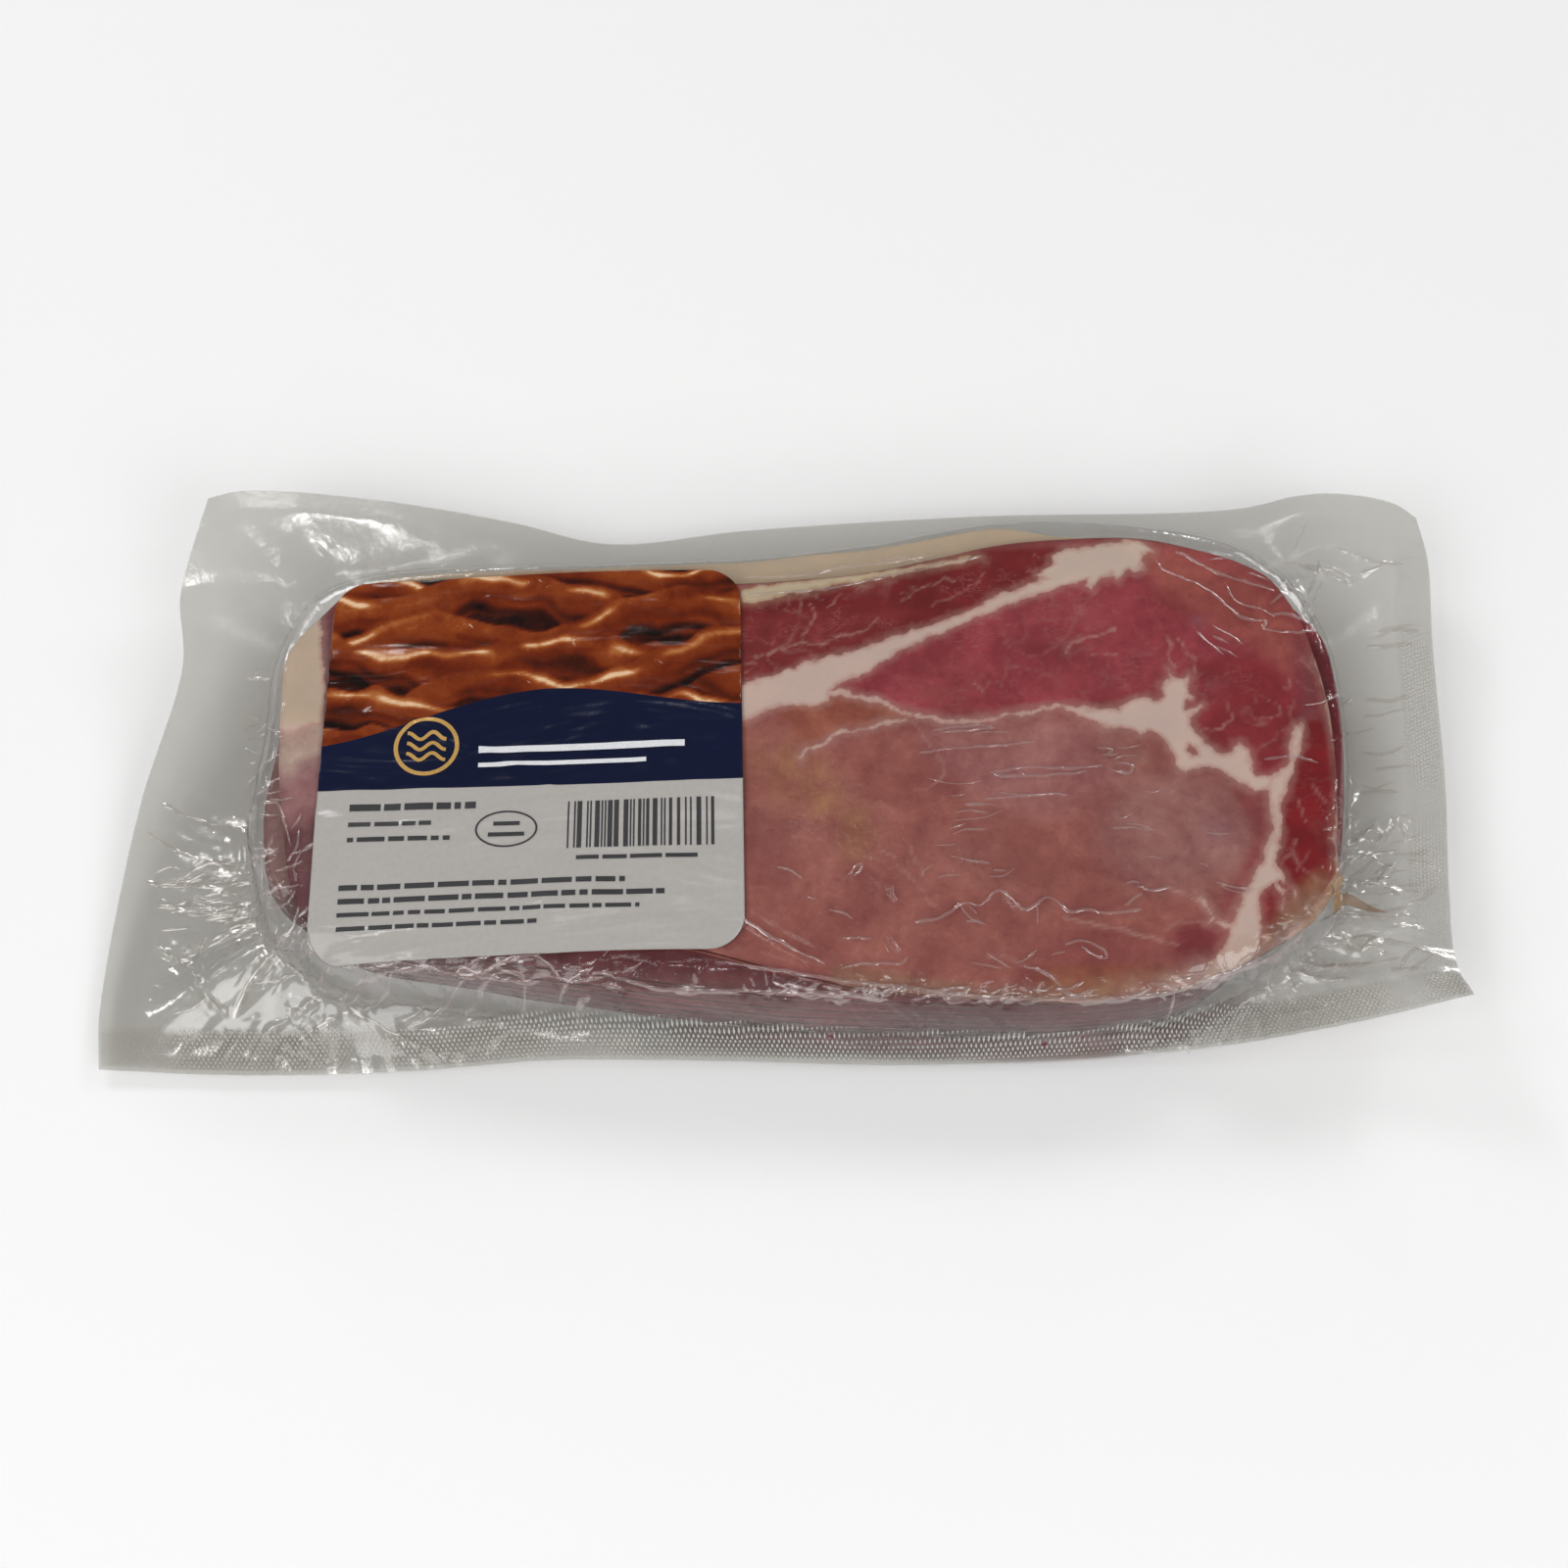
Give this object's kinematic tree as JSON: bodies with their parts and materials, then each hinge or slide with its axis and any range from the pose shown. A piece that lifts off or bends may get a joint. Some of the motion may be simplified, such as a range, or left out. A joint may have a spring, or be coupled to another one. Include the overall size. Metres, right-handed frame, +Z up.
{
  "type": "bacon pack",
  "caption": "Flat vacuum pack of sliced back bacon: a clear sealed film bag drawn tight over a stack of rashers, with a rounded paper label on top.",
  "frame": {"origin": "centre of the bounding box in plan, at the level of the flat underside that the pack rests on", "axes": "+Z up; +X along the pack's length, towards the end without the label; +Y across the pack, away from the side that is nearest in the usual view"},
  "size_m": [0.2856, 0.1322, 0.0279],
  "materials": {
    "film_over_bacon": "gloss",
    "clear_film": "gloss",
    "bacon": "moist",
    "label_paper": "satin"
  },
  "bodies": {
    "root": {"sealed_bag": "film_over_bacon", "label": "label_paper"}
  },
  "joints": []
}
